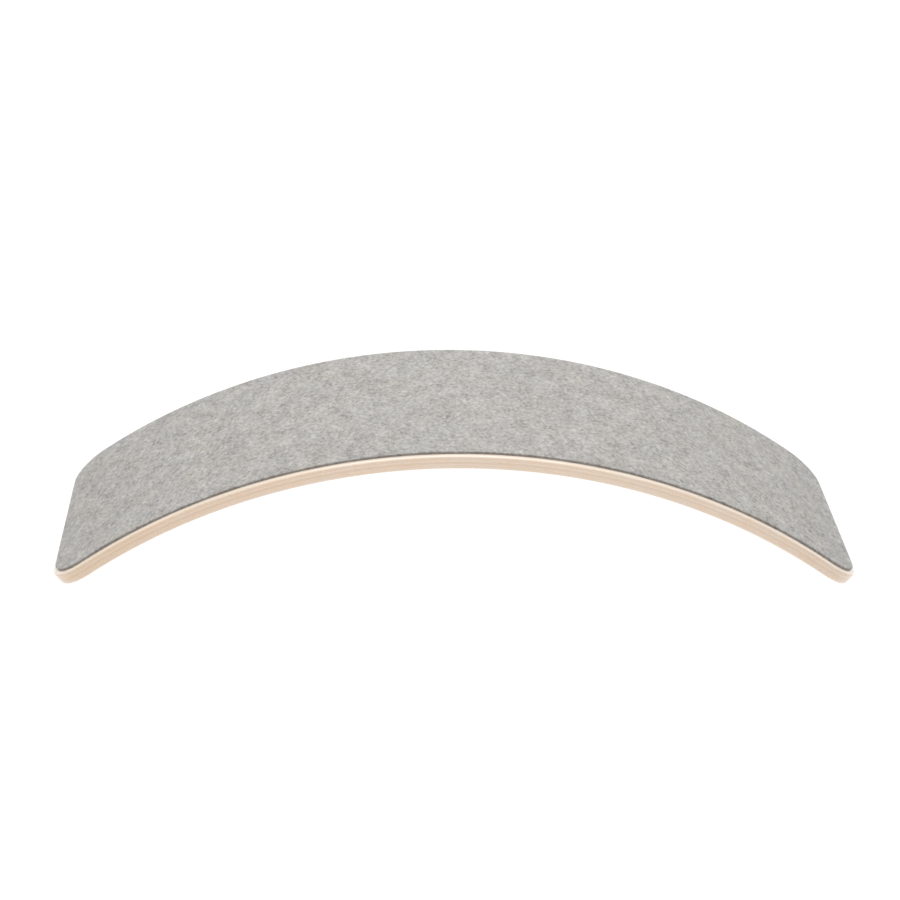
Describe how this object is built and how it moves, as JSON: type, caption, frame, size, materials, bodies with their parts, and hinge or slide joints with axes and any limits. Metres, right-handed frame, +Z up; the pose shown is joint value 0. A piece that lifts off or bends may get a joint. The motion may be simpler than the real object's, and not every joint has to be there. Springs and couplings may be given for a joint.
{
  "type": "balance board",
  "caption": "Arched rocker board of bent beech plywood with a felt cover glued to its convex side, lying as a bridge on its two ends.",
  "frame": {"origin": "on the floor, under the middle of the board", "axes": "+X along the board, +Y across it, away from the side that the picture shows, +Z up"},
  "size_m": [0.8976, 0.3, 0.1732],
  "materials": {
    "beech_along": "satin clear lacquer, grain along the board",
    "beech_across": "satin clear lacquer, grain across the board",
    "wood_glue": "cured resin film",
    "felt_adhesive": "dried contact adhesive",
    "felt": "light grey mottled wool felt"
  },
  "bodies": {
    "root": {"ply_1_outer_face_veneer": "beech_along", "ply_2_crossband_veneer": "beech_across", "ply_3_core_veneer": "beech_along", "ply_4_centre_crossband_veneer": "beech_across", "ply_5_core_veneer": "beech_along", "ply_6_crossband_veneer": "beech_across", "ply_7_inner_face_veneer": "beech_along", "glue_line_1": "wood_glue", "glue_line_2": "wood_glue", "glue_line_3": "wood_glue", "glue_line_4": "wood_glue", "glue_line_5": "wood_glue", "glue_line_6": "wood_glue", "felt_adhesive_film": "felt_adhesive", "felt_cover": "felt"}
  },
  "joints": []
}
